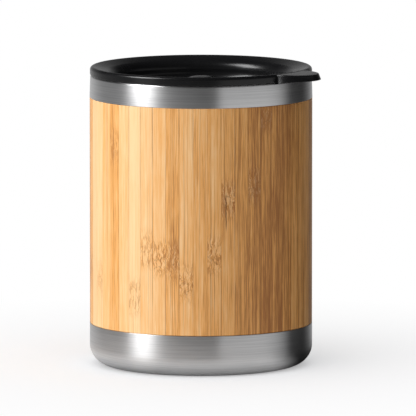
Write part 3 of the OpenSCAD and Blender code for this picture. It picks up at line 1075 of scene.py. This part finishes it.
def floor_finish(name, tint, s):
    """Pale matt floor with a fine grain that fades into the white background."""
    g = Graph(bpy.data.materials.new(name))
    here = g.add("TexCoord").outputs["Object"]
    off = g.add("VectorMath", {0: here}, operation="LENGTH").outputs["Value"]
    kind = g.add("LightPath").outputs

    def matt(shade):
        return g.first("BsdfDiffuse", {"Color": shade, "Roughness": 0.5})

    def glow(shade, strength):
        return g.first("Emission", {"Color": shade, "Strength": strength})

    def both(first, second):
        return g.first("AddShader", {0: first, 1: second})

    def between(share, first, second):
        return g.first("MixShader", {0: share, 1: first, 2: second})

    grain = g.grain(900, 900, 900)
    shade = g.mix(grain, rgba(tint, 0.985), rgba(tint))
    lit = both(matt(shade), glow(rgba(WHITE), s.floor_glow))
    seen = between(g.ramp(off, s.fade_near, s.fade_far, smooth=False), lit, glow(rgba(WHITE), 1.0))

    # Steel and plastic see the floor at the foot of the cup only, and the walls past it
    toward = g.first("VectorMath", {0: here}, operation="NORMALIZE")
    toward = g.dot(toward, facing(s.azimuth + s.shade_azimuth))
    # Painted shadow: the floor that steel and plastic see turns dark on the side away from the key light
    painted_shadow_floor = g.mix(g.ramp(toward, 0.25, 0.75), rgba(BRIGHT_SIDE), rgba(PAINTED_SHADOW_SIDE))
    # Painted glow: past the cup's foot, that floor also glows a little
    painted_glow = g.times(g.ramp(off, *BRIGHTEN), g.times(kind["Is Glossy Ray"], PAINTED_GLOW))
    gone = g.times(kind["Is Glossy Ray"], g.ramp(off, *GIVE_WAY))
    other = between(gone, both(matt(painted_shadow_floor), glow(painted_shadow_floor, painted_glow)), g.first("BsdfTransparent"))
    return g.finish(between(kind["Is Camera Ray"], other, seen))


def studio_floor(s):
    """The round floor, a little below the cup so that the two don't share a face."""
    finish = floor_finish("studio_floor", finish_colour("floor"), s)
    profile = [(s.floor_r * k / FLOOR_RINGS, 0) for k in range(FLOOR_RINGS + 1)]
    floor = lathe("studio_floor", profile, finish, FLOOR_STEPS, closed=False)
    floor.location.z = -s.floor_drop
    return floor


def aimed(name, data, where, look):
    """A lamp or camera at a place, looking along a direction."""
    made = bpy.data.objects.new(name, data)
    made.location = where
    made.rotation_mode = "QUATERNION"
    made.rotation_quaternion = look.to_track_quat("-Z", "Y")
    bpy.context.scene.collection.objects.link(made)
    return made


def key_light(s, floor):
    """The large soft lamp at the left, which leaves the floor to the softer light."""
    lamp = bpy.data.lights.new("key_softbox", "AREA")
    lamp.shape = "RECTANGLE"
    lamp.size, lamp.size_y = s.key_w, s.key_h
    lamp.energy = s.key_power
    middle = Vector((0, 0, (BASE_LO.z + LID_HI.z) / 2))
    back = facing(s.azimuth + s.key_azimuth, s.key_height)
    key = aimed("key_softbox", lamp, middle + back * s.key_distance, -back)
    unlit = bpy.data.collections.new("out_of_key")
    unlit.objects.link(floor)
    key.light_linking.receiver_collection = unlit
    unlit.collection_objects[0].light_linking.link_state = "EXCLUDE"


# The sensor is in millimetres, as a camera's lens is, and the furthest view in metres
SENSOR_WIDTH = 36
CLIP_END = 50


class CUP_OT_stage(Operator):
    """Set up the floor, the key light, the background and the camera"""

    bl_idname = "cup.stage"
    bl_label = "Studio"

    def execute(self, context):
        scene, s = context.scene, context.scene.cup_studio
        key_light(s, studio_floor(s))
        scene.world = studio_world(s)
        data = bpy.data.cameras.new("camera")
        data.lens = s.lens
        data.sensor_width = SENSOR_WIDTH
        data.clip_end = CLIP_END
        place = facing(s.azimuth) * s.distance + Vector((0, 0, s.height))
        scene.camera = aimed("camera", data, place, -facing(s.azimuth - s.yaw, s.pitch))
        scene.view_settings.view_transform = "Standard"
        return {"FINISHED"}


class CUP_PT_panel(Panel):
    """Lists the cup's pieces and the studio"""

    bl_idname = "CUP_PT_panel"
    bl_label = "Bamboo cup"
    bl_space_type = "VIEW_3D"
    bl_region_type = "UI"
    bl_category = "Cup"

    def draw(self, context):
        for operator in OPERATORS:
            self.layout.operator(operator.bl_idname)


OPERATORS = (CUP_OT_steel, CUP_OT_bamboo, CUP_OT_lid, CUP_OT_gasket, CUP_OT_slider, CUP_OT_stage)
GROUPS = {"cup_sizes": CupSizes, "cup_strips": StripSizes, "cup_lid": LidSizes, "cup_finishes": Finishes,
          "cup_studio": Studio}


def register():
    for made in (*GROUPS.values(), *OPERATORS, CUP_PT_panel):
        bpy.utils.register_class(made)
    for name, group in GROUPS.items():
        setattr(Scene, name, PointerProperty(type=group))


def unregister():
    for name in GROUPS:
        delattr(Scene, name)
    for made in (CUP_PT_panel, *reversed(OPERATORS), *reversed(GROUPS.values())):
        bpy.utils.unregister_class(made)


def main():
    register()
    bpy.ops.cup.steel()
    bpy.ops.cup.bamboo()
    bpy.ops.cup.lid()
    bpy.ops.cup.gasket()
    bpy.ops.cup.slider()
    bpy.ops.cup.stage()


if __name__ == "__main__":
    main()
